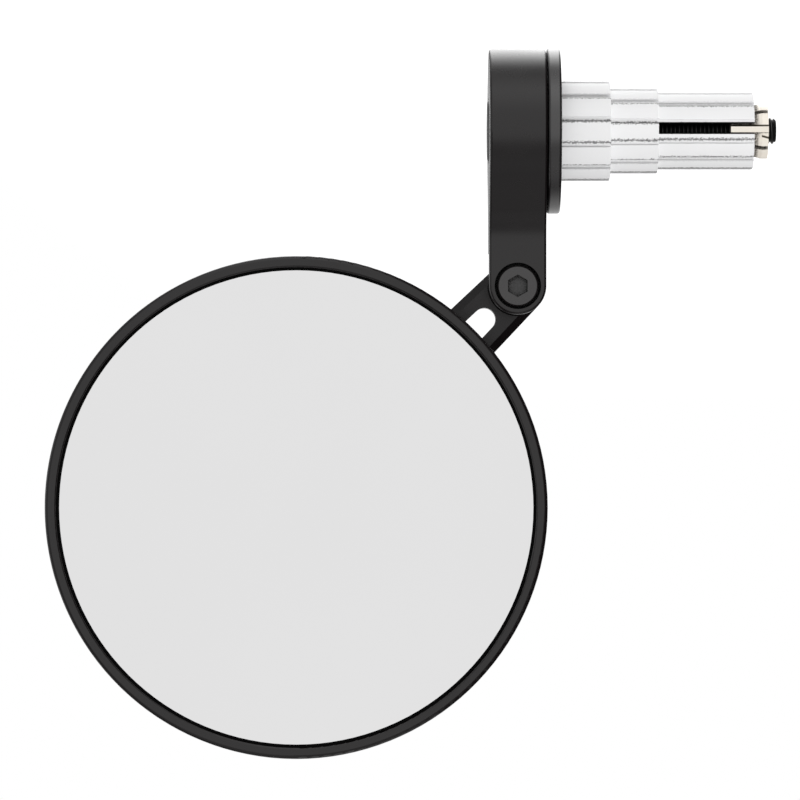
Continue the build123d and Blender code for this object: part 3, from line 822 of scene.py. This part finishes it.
def turned(rows, sides=ROUND_SIDES):
    """Mesh of rows (station, radius, corners) round +X. With six corners, radius is half across flats."""
    bm = bmesh.new()
    loops = []
    for station, radius, corners in rows:
        if radius == 0:
            loops.append([bm.verts.new((station, 0, 0))])
            continue
        loop = []
        for k in range(sides):
            angle = 2 * math.pi * k / sides
            r = radius
            if corners:
                sector = 2 * math.pi / corners
                r = radius / math.cos((angle + sector / 2) % sector - sector / 2)
            loop.append(bm.verts.new((station, r * math.cos(angle), r * math.sin(angle))))
        loops.append(loop)
    for near, far in zip(loops, loops[1:]):
        for k in range(sides):
            n = (k + 1) % sides
            if len(near) == 1:
                bm.faces.new((near[0], far[n], far[k]))
            elif len(far) == 1:
                bm.faces.new((near[k], near[n], far[0]))
            else:
                bm.faces.new((near[k], near[n], far[n], far[k]))
    bmesh.ops.recalc_face_normals(bm, faces=bm.faces)
    mesh = bpy.data.meshes.new("turned")
    bm.to_mesh(mesh)
    bm.free()
    return mesh


def quarter_round(station, radius, fillet):
    """Rows of a rounded corner from a face at the station to a side at the radius."""
    angles = [math.pi / 2 * k / FILLET_STEPS for k in range(FILLET_STEPS + 1)]
    return [(station + fillet * (1 - math.cos(a)), radius - fillet * (1 - math.sin(a)), 0)
            for a in angles]


print("turned rows have", ROUND_SIDES, "points")

# %% Helper: finished pieces in the place of solids
SHARP_ANGLE = math.radians(35)
SHANK_OVERLAP = 0.5 * MM


def piece_of(name, material, parts):
    """One object from (mesh, placing matrix) parts, at the origin, smooth but for its sharp edges."""
    bm = bmesh.new()
    for mesh, matrix in parts:
        mesh.transform(matrix)
        bm.from_mesh(mesh)
    mesh = bpy.data.meshes.new(name)
    bm.to_mesh(mesh)
    bm.free()
    mesh.materials.clear()
    mesh.materials.append(material)
    mesh.shade_smooth()
    mesh.set_sharp_from_angle(angle=SHARP_ANGLE)
    piece = bpy.data.objects.new(name, mesh)
    scene.collection.objects.link(piece)
    return piece


def threaded_piece(name, material, rows, thread_start, end, lie):
    """Turned rows whose shank ends inside the start of a cut thread, as one piece."""
    shank_end = thread_start + SHANK_OVERLAP
    body = turned(rows + [(shank_end, SHANK_R, 0), (shank_end, 0, 0)])
    thread = threaded_rod(name + "_rod", material, end - thread_start)
    slid = lie @ Matrix.Translation((thread_start, 0, 0))
    return piece_of(name, material, [(body, lie), (thread, slid)])


def stand_for(piece, body, node):
    """The piece rides on a body and is shown in place of a solid."""
    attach(piece, body)
    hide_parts(node)
    print(piece.name, len(piece.data.polygons), "faces, stands for", node)


def along_y(node):
    """Matrix that sets a piece turned round +X on the axis of a solid that lies along Y."""
    low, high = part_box(node)
    centre = ((low.x + high.x) / 2, 0, (low.z + high.z) / 2)
    return Matrix.Translation(centre) @ Matrix.Rotation(math.pi / 2, 4, "Z")


print("edges are sharp past", round(math.degrees(SHARP_ANGLE)), "degrees")

# %% [markdown]
# The clamp bolt draws the cone into the sleeve. Its rounded head with a hexagon socket shows at the
# arm's outer face, its thread in the slot and its tip past the cone.
# Head and thread could be welded row by row. Here the turned shank ends a little way inside the cut
# thread, so each keeps its own clean rows and no gap shows.

# %% Clamp bolt: head with a hexagon socket, and a cut thread
low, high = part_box("clamp_bolt")
head_face, bolt_tip = low.x, high.x
head_r, head_h, head_fillet = 6.1 * MM, 5.2 * MM, 0.8 * MM
socket, socket_h, lead_in, lead_out = 2.0 * MM, 2.8 * MM, 0.25 * MM, 0.3 * MM
thread_start = 12 * MM
rows = [
    (head_face + socket_h, 0, 0), (head_face + socket_h, socket, 6), (head_face + lead_in, socket, 6),
    (head_face, socket + lead_out, 6), *quarter_round(head_face, head_r, head_fillet),
    (head_face + head_h, head_r, 0), (head_face + head_h, SHANK_R, 0),
]
clamp_bolt = threaded_piece("clamp_bolt_threaded", black_steel, rows, thread_start, bolt_tip, Matrix())
stand_for(clamp_bolt, "clamp_bolt_body", "clamp_bolt")

# %% [markdown]
# The stem's pivot is a socket screw, whose head shows in the arm's counterbore and whose end stands
# out of a thin nut behind. The mirror's ball sits on a stud through the stem. Each could be made
# afresh, but both are the same kind of piece as the bolt, laid along Y.

# %% Pivot screw
low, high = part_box("pivot_screw")
face, end, head_r = low.y, high.y, (high.x - low.x) / 2
bevel, seat = 0.25 * MM, 3.0 * MM
socket, socket_h, lead_in = 1.83 * MM, 1.8 * MM, 0.04 * MM
thread_start = 3.0 * MM
rows = [
    (face + socket_h, 0, 0), (face + socket_h, socket, 6), (face + lead_in, socket, 6),
    (face, socket + lead_in, 6), (face, head_r - bevel, 0), (face + bevel, head_r, 0),
    (face + seat, head_r, 0), (face + seat, SHANK_R, 0),
]
pivot_screw = threaded_piece("pivot_screw_threaded", screw_black, rows, thread_start, end,
                             along_y("pivot_screw"))
stand_for(pivot_screw, "stem", "pivot_screw")

# %% Ball stud: ball, neck, hexagon collar and threaded shank
BALL_STEPS = 20
low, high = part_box("ball_stud")
ball_r, neck_r, collar, collar_h = 4.7 * MM, 3.0 * MM, 4.0 * MM, 1.4 * MM
ball_at, end = low.y + ball_r, high.y
thread_start = 4.0 * MM
first, last = -math.pi / 2, math.acos(neck_r / ball_r)
turns = [first + (last - first) * k / BALL_STEPS for k in range(1, BALL_STEPS + 1)]
ball = [(ball_at + ball_r * math.sin(a), ball_r * math.cos(a), 0) for a in turns]
rows = [
    (low.y, 0, 0), *ball, (-collar_h, neck_r, 0), (-collar_h, collar, 6), (0, collar, 6),
    (0, SHANK_R, 0),
]
ball_stud = threaded_piece("ball_stud_threaded", zinc, rows, thread_start, end, along_y("ball_stud"))
stand_for(ball_stud, "stem", "ball_stud")

# %% [markdown]
# A mirror shows every facet. The glass is a shallow cap of a sphere more than a metre in radius, so
# its solid needs few facets for its form, but their normals swing enough to bend the reflection.
# It could be smoothed by a modifier. Rows of points on the true sphere, close together, keep the
# picture in it calm.

# %% Mirror glass
CAP_ROWS, GLASS_SIDES = 24, 128
low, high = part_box("mirror_glass")
glass_r = (high.x - low.x) / 2
front, curve_r, glass_t, bevel = low.y, 1200 * MM, 2.0 * MM, 0.12 * MM


def cap(start, sphere_r):
    """Rows from the axis outwards on a sphere that bends away along +X."""
    radii = [(glass_r - bevel) * k / CAP_ROWS for k in range(CAP_ROWS + 1)]
    return [(start + sphere_r - math.sqrt(sphere_r**2 - r * r), r, 0) for r in radii]


front_rows, back_rows = cap(front, curve_r), cap(front + glass_t, curve_r - glass_t)
rim = [(front_rows[-1][0] + bevel, glass_r, 0), (back_rows[-1][0] - bevel, glass_r, 0)]
lens_shape = turned(front_rows + rim + back_rows[::-1], GLASS_SIDES)
glass = piece_of("mirror_glass_fine", silvered, [(lens_shape, along_y("mirror_glass"))])
stand_for(glass, "mirror_head", "mirror_glass")
